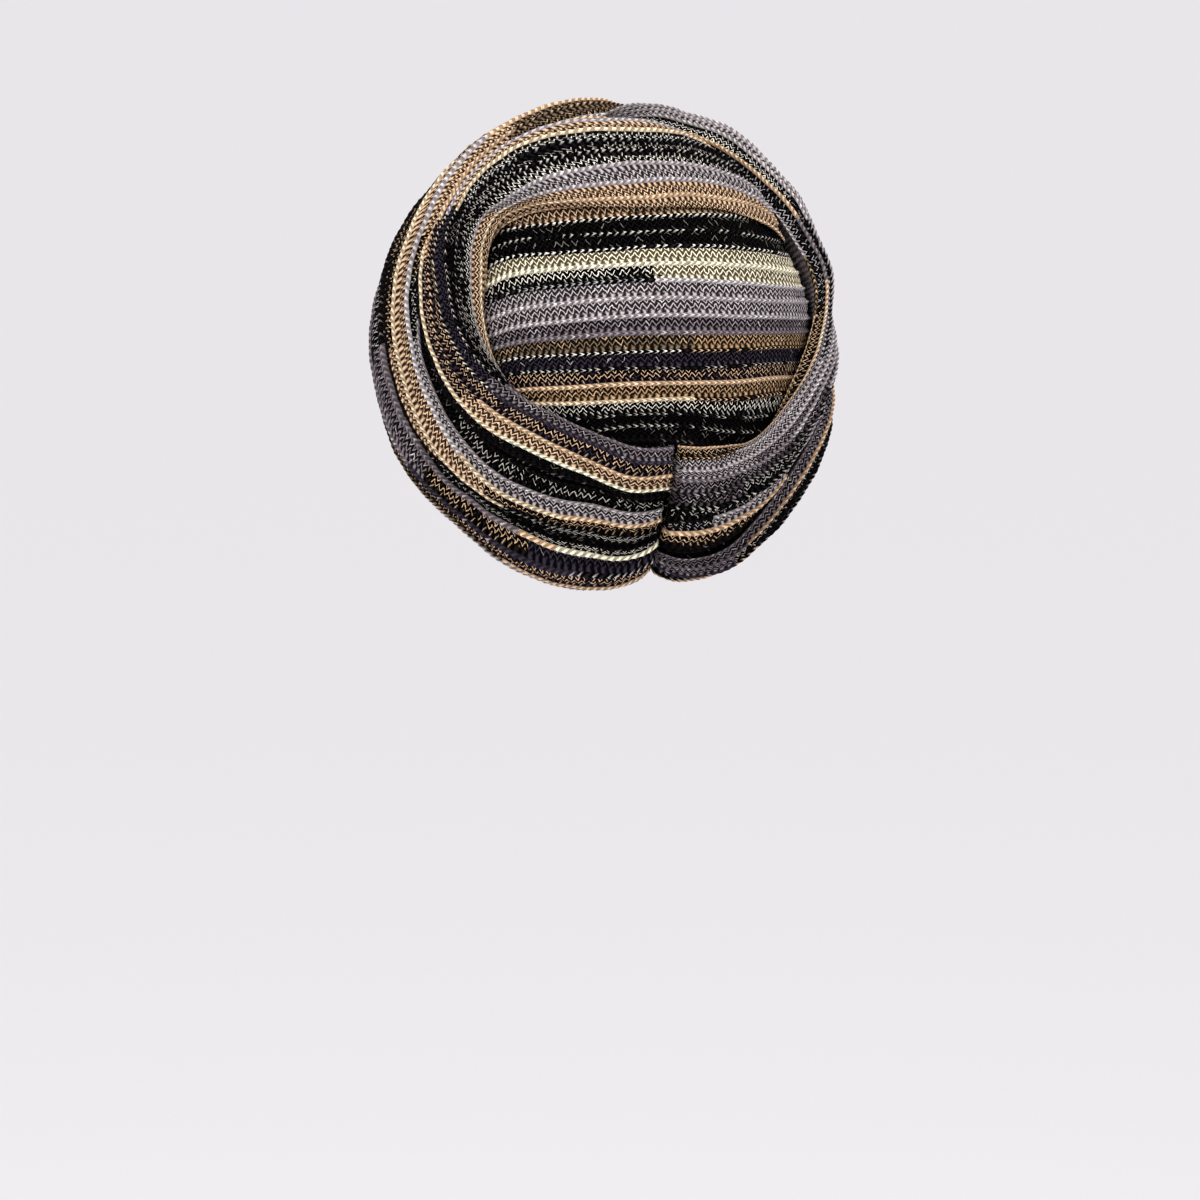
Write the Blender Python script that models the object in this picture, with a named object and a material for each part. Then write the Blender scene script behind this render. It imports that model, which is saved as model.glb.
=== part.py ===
# Knitted turban headwrap: a cap with four folds of one striped knitted cloth wound over it.
# Metres, +Z up. The face looks along -Y and the nape along +Y. The origin is the top of the
# head, where the inside of the crown rests on it. The wearer's left is +X.
#
# Every place on the turban is a direction from the middle of the head, given as
# (clock, polar) in degrees: polar is the angle from an axis that points back and a little up,
# through the middle of the crown, and clock turns round that axis from the nape (0) over the
# wearer's left ear (90) and the top (180) to the right ear (270).

import math

import bmesh
import bpy
from mathutils import Vector

# the hollow for the head
HEAD_HALF_WIDTH = 0.080
HEAD_HALF_LENGTH = 0.100
HEAD_HEIGHT = 0.100
AXIS_LIFT = 20.0  # degrees that the clock's axis rises above the level

# the cloth
CROWN_WALL = 0.003
CROWN_TUCK = 0.005  # how far the crown's rim stays inside the hem of the folds
SEAT_GAP = 0.0007  # between a fold and the crown under it
FOLD_GAP = 0.0014  # between two folds, at the bottom of the groove
SEAM_GAP = 0.0016  # between the left and right folds, at the nape seam
FOLD_RISE = 0.022  # full height of a fold above its seat
CROWN_SLACK = 0.011  # how far the crown stands off the head where it is slack

# Where the crown is slack, as shares of CROWN_SLACK.
SLACK = [
    # clock, polar, share, spread in degrees
    (258, 50, 1.00, 30),
]

# how round a fold is, seen in section
EDGE_LIFT = 0.30  # share of the rise at which its edge stands clear of the crown
ROUND_ACROSS = 0.80
ROUND_UP = 0.62
UNDER_LIFT = 6  # power by which the underside leaves its seat only near the edges
MOST_INSET = 0.2  # most of a fold's width that the gap at its edge may take
END_ROUND = 0.014  # length over which a fold drops to its end
END_SHARE = 0.45  # share of its height that a fold keeps at its end

# how finely the solids are divided
SECTION_HALF = 12
CROWDING = 0.35  # how much closer together the sections lie at a fold's ends
CROWN_MERIDIANS = 48
CROWN_RINGS = 12
LINE_STEPS = 24  # points read between two stations of a line

# The lines where two pieces meet, or where one ends, as (clock, polar) stations.
LINES = {
    # the crown opening, up the left from the nape seam and over the top to the right
    "opening_left": [
        (3.5, 34), (18, 36), (31, 37), (43, 39), (54, 42), (64, 46), (73, 49), (82, 51),
        (92, 52), (103, 53), (114, 54), (124, 56), (133, 55), (139, 48), (145, 39), (155, 32),
        (172, 27), (190, 27), (209, 31), (223, 37), (234, 45), (241, 52),
    ],
    # the crown opening, up the right from the nape seam
    "opening_right": [
        (3.5, 34), (342, 36), (330, 39), (318, 40), (306, 40), (295, 40), (285, 41),
        (275, 44), (266, 48), (257, 51), (249, 52), (241, 52),
    ],
    # left back fold meets left front fold
    "left_valley": [
        (3.2, 48), (14, 49), (26, 49), (36, 52), (45, 55), (54, 59), (64, 63), (73, 67),
        (82, 70), (92, 73), (102, 76), (112, 79), (121, 79), (131, 78), (140, 78), (149, 79),
        (158, 77), (165, 73), (172, 69),
    ],
    # left back fold meets right back fold over the top
    "top_line": [(172, 69), (179, 66), (188, 64), (198, 63), (207, 61), (216, 58)],
    "top_end": [(216, 58), (228, 55), (241, 52)],
    # left front fold crosses right back fold, over the top and down the front
    "ridge": [
        (172, 69), (178, 67), (184, 69), (190, 74), (197, 81), (204, 90), (214, 99),
        (225, 107), (237, 112),
    ],
    "tail_end": [(237, 112), (240, 118)],
    # left front fold crosses right front fold above the brow
    "front_line": [(180, 145), (190, 143), (202, 139), (214, 133), (227, 126), (240, 118)],
    # right back fold meets right front fold
    "right_valley": [
        (2.2, 65), (353, 68), (343, 68), (335, 63), (327, 59), (318, 57), (308, 57),
        (298, 59), (288, 63), (277, 70), (266, 80), (257, 92), (248, 106), (240, 118),
    ],
    "hem_left": [
        (0.8, 75), (4, 79), (9, 84), (15, 88), (22, 92), (29, 95), (37, 97), (45, 101),
        (54, 107), (65, 112), (79, 118), (93, 126), (108, 133), (125, 138), (144, 142),
        (162, 144), (180, 145),
    ],
    "hem_right": [
        (0.8, 75), (354, 77), (346, 78), (337, 80), (327, 83), (316, 88), (303, 96),
        (290, 105), (277, 114), (263, 121), (249, 128), (233, 135), (215, 140), (198, 144),
        (180, 145),
    ],
}

# Each fold lies between two chains of lines, both walked from the nape seam. A name with a
# minus sign is walked backwards. `trim` is the share left off at the far end, where a fold
# runs out to a point.
FOLDS = {
    "left_back_fold": {
        "inner": ["opening_left"],
        "outer": ["left_valley", "top_line"],
        "sections": 44,
        "trim": 0.0,
    },
    "left_front_fold": {
        "inner": ["left_valley", "ridge"],
        "outer": ["hem_left", "front_line"],
        "sections": 52,
        "trim": 0.012,
    },
    "right_back_fold": {
        "inner": ["opening_right", "-top_end", "-top_line"],
        "outer": ["right_valley", "-tail_end", "-ridge"],
        "sections": 44,
        "trim": 0.03,
    },
    "right_front_fold": {
        "inner": ["right_valley", "-front_line"],
        "outer": ["hem_right"],
        "sections": 40,
        "trim": 0.02,
    },
}

# Height of each fold along its length, as shares of FOLD_RISE: at its inner edge, its middle
# and its outer edge.
RISES = {
    # along, inner, middle, outer
    "left_back_fold": [
        (0.00, 0.50, 0.60, 0.62),
        (0.15, 0.50, 0.65, 0.75),
        (0.32, 0.55, 0.80, 0.85),
        (0.48, 0.60, 0.90, 0.88),
        (0.60, 0.35, 0.80, 0.85),
        (0.72, 0.12, 0.50, 0.80),
        (0.86, 0.10, 0.42, 0.72),
        (1.00, 0.10, 0.35, 0.60),
    ],
    "left_front_fold": [
        (0.00, 0.35, 0.55, 0.45),
        (0.10, 0.38, 0.72, 0.50),
        (0.22, 0.48, 0.86, 0.56),
        (0.36, 0.60, 0.96, 0.86),
        (0.50, 0.72, 1.07, 0.88),
        (0.62, 0.86, 1.14, 0.78),
        (0.72, 0.92, 1.04, 0.66),
        (0.84, 0.92, 0.88, 0.60),
        (1.00, 0.55, 0.60, 0.55),
    ],
    "right_back_fold": [
        (0.00, 0.55, 0.60, 0.40),
        (0.15, 0.50, 0.75, 0.40),
        (0.32, 0.35, 0.62, 0.44),
        (0.44, 0.35, 0.52, 0.42),
        (0.57, 0.66, 0.98, 0.98),
        (0.68, 0.98, 1.22, 1.05),
        (0.79, 1.04, 1.26, 1.00),
        (0.88, 0.80, 1.00, 0.88),
        (1.00, 0.65, 0.70, 0.55),
    ],
    "right_front_fold": [
        (0.00, 0.50, 0.55, 0.45),
        (0.12, 0.80, 0.72, 0.42),
        (0.20, 0.85, 0.74, 0.44),
        (0.32, 0.85, 0.80, 0.58),
        (0.60, 0.75, 0.85, 0.62),
        (1.00, 0.55, 0.60, 0.55),
    ],
}

# Dents along a fold: where each starts and ends along and across it, how deep it is as a
# share of the fold's height there, and how wide as a share of the fold's width.
DENTS = {
    # along from, to, across from, to, depth, width
    "left_back_fold": [
        (0.02, 0.46, 0.40, 0.44, 0.14, 0.12),
        (0.36, 0.66, 0.24, 0.30, 0.20, 0.09),
    ],
    "left_front_fold": [
        (-0.06, 0.34, 0.24, 0.52, 0.30, 0.07),
        (0.18, 0.66, 0.54, 0.40, 0.28, 0.07),
        (-0.10, 0.22, 0.60, 0.52, 0.24, 0.06),
        (0.10, 0.60, 0.22, 0.24, 0.12, 0.07),
        (0.62, 0.98, 0.62, 0.55, 0.20, 0.10),
        (0.50, 0.95, 0.28, 0.30, 0.16, 0.08),
    ],
    "right_back_fold": [
        (-0.04, 0.26, 0.52, 0.64, 0.24, 0.09),
        (0.06, 0.50, 0.30, 0.36, 0.12, 0.08),
        (0.45, 0.95, 0.50, 0.45, 0.18, 0.09),
    ],
    "right_front_fold": [
        (0.03, 0.50, 0.55, 0.60, 0.24, 0.10),
        (0.35, 0.95, 0.35, 0.45, 0.20, 0.10),
    ],
}

COLOURS = {
    "crown": (0.25, 0.22, 0.22, 1.0),
    "left_back_fold": (0.16, 0.12, 0.13, 1.0),
    "left_front_fold": (0.42, 0.30, 0.20, 1.0),
    "right_back_fold": (0.26, 0.23, 0.24, 1.0),
    "right_front_fold": (0.12, 0.10, 0.11, 1.0),
}
KNIT_ROUGHNESS = 0.9


def clear_scene():
    for thing in list(bpy.data.objects):
        bpy.data.objects.remove(thing, do_unlink=True)


def knit_material(name):
    material = bpy.data.materials.new(name)
    material.use_nodes = True
    shader = material.node_tree.nodes["Principled BSDF"]
    shader.inputs["Base Color"].default_value = COLOURS[name]
    shader.inputs["Roughness"].default_value = KNIT_ROUGHNESS
    return material


def direction(clock, polar):
    """The unit vector of a (clock, polar) station."""
    lift, turn, lean = (math.radians(value) for value in (AXIS_LIFT, clock, polar))
    axis = Vector((0, math.cos(lift), math.sin(lift)))
    upward = Vector((0, -math.sin(lift), math.cos(lift)))
    sideways = Vector((1, 0, 0))
    rim = sideways * math.sin(turn) - upward * math.cos(turn)
    return axis * math.cos(lean) + rim * math.sin(lean)


def slack_at(way):
    """How far the crown stands off the head in that direction."""
    slack = 0.0
    for clock, polar, share, spread in SLACK:
        away = way.angle(direction(clock, polar))
        slack += CROWN_SLACK * share * math.exp(-((away / math.radians(spread)) ** 2))
    return slack


def on_head(way, height):
    """The point `height` above the inside of the crown, in that direction from the middle."""
    halves = Vector((HEAD_HALF_WIDTH, HEAD_HALF_LENGTH, HEAD_HEIGHT))
    scaled = Vector(part / half for part, half in zip(way, halves))
    point = way / scaled.length
    out = Vector(part / half**2 for part, half in zip(point, halves)).normalized()
    return point + out * (height + slack_at(way)) - Vector((0, 0, HEAD_HEIGHT))


def smooth(values, share):
    """A Catmull-Rom curve through the values, read at share 0 to 1."""
    if len(values) == 2:
        return values[0] * (1 - share) + values[1] * share
    place = min(max(share, 0.0), 1.0) * (len(values) - 1)
    first = min(int(place), len(values) - 2)
    part = place - first
    at = values[first]
    to = values[first + 1]
    before = values[first - 1] if first else at * 2 - to
    after = values[first + 2] if first + 2 < len(values) else to * 2 - at
    return (
        at * 2
        + (to - before) * part
        + (before * 2 - at * 5 + to * 4 - after) * part**2
        + (at * 3 - before - to * 3 + after) * part**3
    ) * 0.5


def between(rows, share):
    """The columns of a table's rows, eased between the rows that lie either side of share."""
    for row, nxt in zip(rows, rows[1:]):
        if share <= nxt[0]:
            part = max(0.0, (share - row[0]) / (nxt[0] - row[0]))
            part = part * part * (3 - 2 * part)
            return [a + (b - a) * part for a, b in zip(row[1:], nxt[1:])]
    return list(rows[-1][1:])


def chain_directions(names):
    """Directions along a chain of lines, closely spaced."""
    ways = []
    for name in names:
        stations = [direction(*station) for station in LINES[name.lstrip("-")]]
        if name.startswith("-"):
            stations.reverse()
        count = LINE_STEPS * (len(stations) - 1)
        line = [smooth(stations, i / count).normalized() for i in range(count + 1)]
        ways += line if not ways else line[1:]
    return ways


def by_length(ways):
    """A function that reads the chain at a share of its length."""
    marks = [0.0]
    for a, b in zip(ways, ways[1:]):
        marks.append(marks[-1] + (b - a).length)

    def read(share):
        wanted = min(max(share, 0.0), 1.0) * marks[-1]
        low = 0
        high = len(marks) - 1
        while high - low > 1:
            middle = (low + high) // 2
            if marks[middle] <= wanted:
                low = middle
            else:
                high = middle
        part = (wanted - marks[low]) / (marks[high] - marks[low])
        return (ways[low] * (1 - part) + ways[high] * part).normalized()

    return read


def rise_of(name, along, across):
    """Height of a fold's crest above its seat, with its dents, before its edges are rounded."""
    inner, middle, outer = between(RISES[name], along)
    height = inner * (1 - across) * (1 - 2 * across) + outer * across * (2 * across - 1)
    height = FOLD_RISE * (height + 4 * middle * across * (1 - across))
    for start, end, across_start, across_end, depth, width in DENTS[name]:
        if not start < along < end:
            continue
        place = (along - start) / (end - start)
        line = across_start + (across_end - across_start) * place
        fade = math.sin(math.pi * place) ** 0.5
        height *= 1 - depth * fade * math.exp(-(((across - line) / width) ** 2))
    return height


def end_drop(distance):
    """How much of its height a fold has at this distance from its end."""
    if distance >= END_ROUND:
        return 1.0
    rounded = math.sqrt(1 - (1 - distance / END_ROUND) ** 2)
    return END_SHARE + (1 - END_SHARE) * rounded


def section_shares():
    """(across, up) round one section: over the top from inner to outer edge and back under."""
    shares = []
    for i in range(SECTION_HALF + 1):
        turn = math.pi * i / SECTION_HALF
        side = math.cos(turn)
        across = 0.5 - 0.5 * math.copysign(abs(side) ** ROUND_ACROSS, side)
        shares.append((across, EDGE_LIFT + (1 - EDGE_LIFT) * abs(math.sin(turn)) ** ROUND_UP))
    for i in range(1, SECTION_HALF):
        share = i / SECTION_HALF
        shares.append((1 - share, EDGE_LIFT * abs(1 - 2 * share) ** UNDER_LIFT))
    return shares


def fold_rings(name):
    """The sections of one fold, from the nape seam to its far end."""
    fold = FOLDS[name]
    inner = by_length(chain_directions(fold["inner"]))
    outer = by_length(chain_directions(fold["outer"]))
    seat = CROWN_WALL + SEAT_GAP
    count = fold["sections"]
    far = 1 - fold["trim"]
    middles = [
        on_head((inner(far * i / count) + outer(far * i / count)).normalized(), seat)
        for i in range(count + 1)
    ]
    length = sum((b - a).length for a, b in zip(middles, middles[1:]))
    near = SEAM_GAP / 2 / length
    rings = []
    for i in range(count + 1):
        along = i / count
        # sections lie closer together at both ends, where the fold rounds down
        along -= CROWDING * math.sin(2 * math.pi * along) / (2 * math.pi)
        place = near + (far - near) * along
        a = inner(place)
        b = outer(place)
        width = (on_head(a, seat) - on_head(b, seat)).length
        inset = min(MOST_INSET, FOLD_GAP / 2 / width)
        distance = min(along, 1 - along) * length
        ring = []
        for across, up in section_shares():
            where = inset + (1 - 2 * inset) * across
            way = (a * (1 - where) + b * where).normalized()
            rise = rise_of(name, along, across) * end_drop(distance)
            ring.append(on_head(way, seat + rise * up))
        rings.append(ring)
    return rings


def crown_rings():
    """The crown from its outer middle to its rim, round the rim and back along the inside."""
    hem = chain_directions(["hem_left", "-hem_right"])
    edge = by_length(hem)
    pole = direction(0, 0)
    rims = [edge(i / CROWN_MERIDIANS) for i in range(CROWN_MERIDIANS)]
    tuck = CROWN_TUCK / HEAD_HALF_LENGTH
    rings = []
    for height, order in ((CROWN_WALL, 1), (0.0, -1)):
        side = []
        for j in range(1, CROWN_RINGS + 1):
            ring = []
            for rim in rims:
                angle = (pole.angle(rim) - tuck) * j / CROWN_RINGS
                square = (rim - pole * rim.dot(pole)).normalized()
                ring.append(on_head(pole * math.cos(angle) + square * math.sin(angle), height))
            side.append(ring)
        rings += side[::order]
    return rings


def body_from_rings(name, rings):
    """One closed body: a capped ring, drawn out ring by ring and capped again."""
    mesh = bmesh.new()
    place = mesh.verts.layers.int.new("place")
    first = bmesh.ops.create_circle(mesh, cap_ends=True, radius=1.0, segments=len(rings[0]))
    for i, vert in enumerate(first["verts"]):
        vert[place] = i
        vert.co = rings[0][i]
    edges = list(mesh.edges)
    for ring in rings[1:]:
        drawn = bmesh.ops.extrude_edge_only(mesh, edges=edges)["geom"]
        edges = []
        for part in drawn:
            if isinstance(part, bmesh.types.BMVert):
                part.co = ring[part[place]]
            elif isinstance(part, bmesh.types.BMEdge) and len(part.link_faces) == 1:
                edges.append(part)
    bmesh.ops.contextual_create(mesh, geom=edges)
    bmesh.ops.recalc_face_normals(mesh, faces=mesh.faces)
    data = bpy.data.meshes.new(name)
    mesh.to_mesh(data)
    mesh.free()
    data.shade_smooth()
    data.materials.append(knit_material(name))
    thing = bpy.data.objects.new(name, data)
    bpy.context.scene.collection.objects.link(thing)
    return thing


def main():
    clear_scene()
    body_from_rings("crown", crown_rings())
    for name in FOLDS:
        body_from_rings(name, fold_rings(name))


main()
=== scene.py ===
# Looks of the knitted turban headwrap: a cap and four folds, knitted row by row over the solids
import math

import bmesh
import bpy
import numpy as np
from mathutils import Matrix, Vector


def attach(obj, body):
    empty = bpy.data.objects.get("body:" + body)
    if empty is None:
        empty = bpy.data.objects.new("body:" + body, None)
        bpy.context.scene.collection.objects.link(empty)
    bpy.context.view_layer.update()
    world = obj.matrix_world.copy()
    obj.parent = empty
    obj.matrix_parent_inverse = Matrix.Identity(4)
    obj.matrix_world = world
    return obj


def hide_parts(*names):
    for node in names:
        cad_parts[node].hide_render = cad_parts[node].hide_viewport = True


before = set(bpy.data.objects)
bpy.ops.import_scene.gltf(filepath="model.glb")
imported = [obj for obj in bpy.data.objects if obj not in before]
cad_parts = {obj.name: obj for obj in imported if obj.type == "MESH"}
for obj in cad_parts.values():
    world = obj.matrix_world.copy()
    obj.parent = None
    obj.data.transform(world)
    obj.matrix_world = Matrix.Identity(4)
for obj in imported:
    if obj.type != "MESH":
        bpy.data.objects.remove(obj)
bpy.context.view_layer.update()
print("frame loaded:", sorted(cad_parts))

# the form of the turban, in the same numbers as the CAD model, metres and degrees
head = {"halfWidth": 0.080, "halfLength": 0.100, "height": 0.100, "axisLift": 20.0}
cloth = {
    "seat": 0.0037, "foldGap": 0.0014, "seamGap": 0.0016, "rise": 0.022,
    "slack": 0.011, "slackClock": 258, "slackPolar": 50, "slackSpread": 30,
    # how round a fold is in section, and how it drops to its ends
    "edgeLift": 0.30, "roundAcross": 0.80, "roundUp": 0.62, "underLift": 6,
    "endRound": 0.014, "endShare": 0.45, "mostInset": 0.2,
}
# each line is (clock, polar) round the crown's axis
lines = {
    "opening_left": [
        (3.5, 34), (18, 36), (31, 37), (43, 39), (54, 42), (64, 46), (73, 49), (82, 51),
        (92, 52), (103, 53), (114, 54), (124, 56), (133, 55), (139, 48), (145, 39), (155, 32),
        (172, 27), (190, 27), (209, 31), (223, 37), (234, 45), (241, 52)],
    "opening_right": [
        (3.5, 34), (342, 36), (330, 39), (318, 40), (306, 40), (295, 40), (285, 41),
        (275, 44), (266, 48), (257, 51), (249, 52), (241, 52)],
    "left_valley": [
        (3.2, 48), (14, 49), (26, 49), (36, 52), (45, 55), (54, 59), (64, 63), (73, 67),
        (82, 70), (92, 73), (102, 76), (112, 79), (121, 79), (131, 78), (140, 78), (149, 79),
        (158, 77), (165, 73), (172, 69)],
    "top_line": [(172, 69), (179, 66), (188, 64), (198, 63), (207, 61), (216, 58)],
    "top_end": [(216, 58), (228, 55), (241, 52)],
    "ridge": [
        (172, 69), (178, 67), (184, 69), (190, 74), (197, 81), (204, 90), (214, 99),
        (225, 107), (237, 112)],
    "tail_end": [(237, 112), (240, 118)],
    "front_line": [(180, 145), (190, 143), (202, 139), (214, 133), (227, 126), (240, 118)],
    "right_valley": [
        (2.2, 65), (353, 68), (343, 68), (335, 63), (327, 59), (318, 57), (308, 57),
        (298, 59), (288, 63), (277, 70), (266, 80), (257, 92), (248, 106), (240, 118)],
    "hem_left": [
        (0.8, 75), (4, 79), (9, 84), (15, 88), (22, 92), (29, 95), (37, 97), (45, 101),
        (54, 107), (65, 112), (79, 118), (93, 126), (108, 133), (125, 138), (144, 142),
        (162, 144), (180, 145)],
    "hem_right": [
        (0.8, 75), (354, 77), (346, 78), (337, 80), (327, 83), (316, 88), (303, 96),
        (290, 105), (277, 114), (263, 121), (249, 128), (233, 135), (215, 140), (198, 144),
        (180, 145)],
}
folds = {
    "left_back_fold": {"inner": ["opening_left"], "outer": ["left_valley", "top_line"],
                       "trim": 0.0},
    "left_front_fold": {"inner": ["left_valley", "ridge"], "outer": ["hem_left", "front_line"],
                        "trim": 0.012},
    "right_back_fold": {"inner": ["opening_right", "-top_end", "-top_line"],
                        "outer": ["right_valley", "-tail_end", "-ridge"], "trim": 0.03},
    "right_front_fold": {"inner": ["right_valley", "-front_line"], "outer": ["hem_right"],
                         "trim": 0.02},
}
# along, then the height at the inner edge, the middle and the outer edge
rises = {
    "left_back_fold": [
        (0.00, 0.50, 0.60, 0.62), (0.15, 0.50, 0.65, 0.75), (0.32, 0.55, 0.80, 0.85),
        (0.48, 0.60, 0.90, 0.88), (0.60, 0.35, 0.80, 0.85), (0.72, 0.12, 0.50, 0.80),
        (0.86, 0.10, 0.42, 0.72), (1.00, 0.10, 0.35, 0.60)],
    "left_front_fold": [
        (0.00, 0.35, 0.55, 0.45), (0.10, 0.38, 0.72, 0.50), (0.22, 0.48, 0.86, 0.56),
        (0.36, 0.60, 0.96, 0.86), (0.50, 0.72, 1.07, 0.88), (0.62, 0.86, 1.14, 0.78),
        (0.72, 0.92, 1.04, 0.66), (0.84, 0.92, 0.88, 0.60), (1.00, 0.55, 0.60, 0.55)],
    "right_back_fold": [
        (0.00, 0.55, 0.60, 0.40), (0.15, 0.50, 0.75, 0.40), (0.32, 0.35, 0.62, 0.44),
        (0.44, 0.35, 0.52, 0.42), (0.57, 0.66, 0.98, 0.98), (0.68, 0.98, 1.22, 1.05),
        (0.79, 1.04, 1.26, 1.00), (0.88, 0.80, 1.00, 0.88), (1.00, 0.65, 0.70, 0.55)],
    "right_front_fold": [
        (0.00, 0.50, 0.55, 0.45), (0.12, 0.80, 0.72, 0.42), (0.20, 0.85, 0.74, 0.44),
        (0.32, 0.85, 0.80, 0.58), (0.60, 0.75, 0.85, 0.62), (1.00, 0.55, 0.60, 0.55)],
}
# start and end along, first and last place across, depth, width
dents = {
    "left_back_fold": [(0.02, 0.46, 0.40, 0.44, 0.14, 0.12), (0.36, 0.66, 0.24, 0.30, 0.20, 0.09)],
    "left_front_fold": [
        (-0.06, 0.34, 0.24, 0.52, 0.30, 0.07), (0.18, 0.66, 0.54, 0.40, 0.28, 0.07),
        (-0.10, 0.22, 0.60, 0.52, 0.24, 0.06), (0.10, 0.60, 0.22, 0.24, 0.12, 0.07),
        (0.62, 0.98, 0.62, 0.55, 0.20, 0.10), (0.50, 0.95, 0.28, 0.30, 0.16, 0.08)],
    "right_back_fold": [
        (-0.04, 0.26, 0.52, 0.64, 0.24, 0.09), (0.06, 0.50, 0.30, 0.36, 0.12, 0.08),
        (0.45, 0.95, 0.50, 0.45, 0.18, 0.09)],
    "right_front_fold": [(0.03, 0.50, 0.55, 0.60, 0.24, 0.10), (0.35, 0.95, 0.35, 0.45, 0.20, 0.10)],
}


def unit(v):
    return v / np.linalg.norm(v, axis=-1, keepdims=True)


def direction(clock, polar):
    lift = math.radians(head["axisLift"])
    turn, lean = np.radians(clock)[..., None], np.radians(polar)[..., None]
    axis = np.array([0, math.cos(lift), math.sin(lift)])
    up = np.array([0, -math.sin(lift), math.cos(lift)])
    rim = np.array([1.0, 0, 0]) * np.sin(turn) - up * np.cos(turn)
    return axis * np.cos(lean) + rim * np.sin(lean)


def onHead(way, height):
    # the cap's form, with the slack of the cloth on the wearer's right
    halves = np.array([head["halfWidth"], head["halfLength"], head["height"]])
    point = way / np.linalg.norm(way / halves, axis=-1, keepdims=True)
    out = unit(point / halves ** 2)
    middle = direction(np.array(cloth["slackClock"]), np.array(cloth["slackPolar"]))
    away = np.arccos(np.clip(way @ middle, -1, 1)) / math.radians(cloth["slackSpread"])
    slack = cloth["slack"] * np.exp(-away ** 2)
    return point + out * (height + slack)[..., None] - np.array([0, 0, head["height"]])


def curveThrough(points, steps=24):
    if len(points) == 2:
        share = np.linspace(0, 1, steps + 1)[:, None]
        return points[0] * (1 - share) + points[1] * share
    before = np.vstack([points[0] * 2 - points[1], points[:-1]])
    after = np.vstack([points[1:], points[-1] * 2 - points[-2]])
    share = np.linspace(0, 1, steps + 1)[:, None]
    parts = [points[:1]]
    for k in range(len(points) - 1):
        a, b, c, d = before[k], points[k], points[k + 1], after[k + 1]
        part = (b * 2 + (c - a) * share + (a * 2 - b * 5 + c * 4 - d) * share ** 2
                + (b * 3 - a - c * 3 + d) * share ** 3) * 0.5
        parts.append(part[1:])
    return np.vstack(parts)


def chainReader(names):
    ways = []
    for name in names:
        stations = np.array(lines[name.lstrip("-")], float)
        line = direction(stations[:, 0], stations[:, 1])
        if name.startswith("-"):
            line = line[::-1]
        line = unit(curveThrough(line))
        ways.append(line if not ways else line[1:])
    ways = np.vstack(ways)
    marks = np.concatenate([[0], np.cumsum(np.linalg.norm(np.diff(ways, axis=0), axis=1))])

    def read(share):
        wanted = np.clip(share, 0, 1) * marks[-1]
        return unit(np.stack([np.interp(wanted, marks, ways[:, k]) for k in range(3)], -1))
    return read


def eased(rows, share):
    rows = np.array(rows, float)
    place = np.clip(np.searchsorted(rows[:, 0], share, side="left") - 1, 0, len(rows) - 2)
    part = np.clip((share - rows[place, 0]) / (rows[place + 1, 0] - rows[place, 0]), 0, 1)
    part = (part * part * (3 - 2 * part))[..., None]
    return rows[place, 1:] * (1 - part) + rows[place + 1, 1:] * part


def riseOf(name, along, across):
    inner, middle, outer = np.moveaxis(eased(rises[name], along), -1, 0)
    height = inner * (1 - across) * (1 - 2 * across) + outer * across * (2 * across - 1)
    height = cloth["rise"] * (height + 4 * middle * across * (1 - across))
    for start, end, first, last, depth, width in dents[name]:
        place = np.clip((along - start) / (end - start), 0, 1)
        line = first + (last - first) * place
        fade = np.sqrt(np.sin(math.pi * place).clip(0))
        height = height * (1 - depth * fade * np.exp(-((across - line) / width) ** 2))
    return height


def foldLength(name, steps=60):
    fold = folds[name]
    shares = np.linspace(0, 1 - fold["trim"], steps)
    middle = unit(chainReader(fold["inner"])(shares) + chainReader(fold["outer"])(shares))
    spine = onHead(middle, np.full(steps, cloth["seat"]))
    return np.linalg.norm(np.diff(spine, axis=0), axis=1).sum()


def foldSections(name, alongs, length, top=72, under=28):
    # closed sections: from the inner edge over the top to the outer edge, and back underneath
    fold = folds[name]
    far, near = 1 - fold["trim"], cloth["seamGap"] / 2 / length
    place = near + (far - near) * alongs
    a, b = chainReader(fold["inner"])(place), chainReader(fold["outer"])(place)
    seat = np.full(len(a), cloth["seat"])
    width = np.linalg.norm(onHead(a, seat) - onHead(b, seat), axis=1)
    inset = np.minimum(cloth["mostInset"], cloth["foldGap"] / 2 / width)[:, None]
    turn = np.linspace(0, math.pi, top + 1)
    side = np.cos(turn)
    across = 0.5 - 0.5 * np.copysign(np.abs(side) ** cloth["roundAcross"], side)
    up = cloth["edgeLift"] + (1 - cloth["edgeLift"]) * np.abs(np.sin(turn)) ** cloth["roundUp"]
    back = np.linspace(1, 0, under + 1)[1:-1]
    across = np.concatenate([across, back])[None, :]
    up = np.concatenate([up, cloth["edgeLift"] * np.abs(1 - 2 * back) ** cloth["underLift"]])
    distance = np.minimum(alongs, 1 - alongs) * length
    drop = np.sqrt(np.clip(1 - (1 - distance / cloth["endRound"]).clip(0) ** 2, 0, 1))
    drop = (cloth["endShare"] + (1 - cloth["endShare"]) * drop)[:, None]
    where = inset + (1 - 2 * inset) * across
    way = unit(a[:, None] * (1 - where[..., None]) + b[:, None] * where[..., None])
    rise = riseOf(name, alongs[:, None] + 0 * across, across + 0 * where) * drop
    return onHead(way, cloth["seat"] + rise * up[None, :]), top, across


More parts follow.
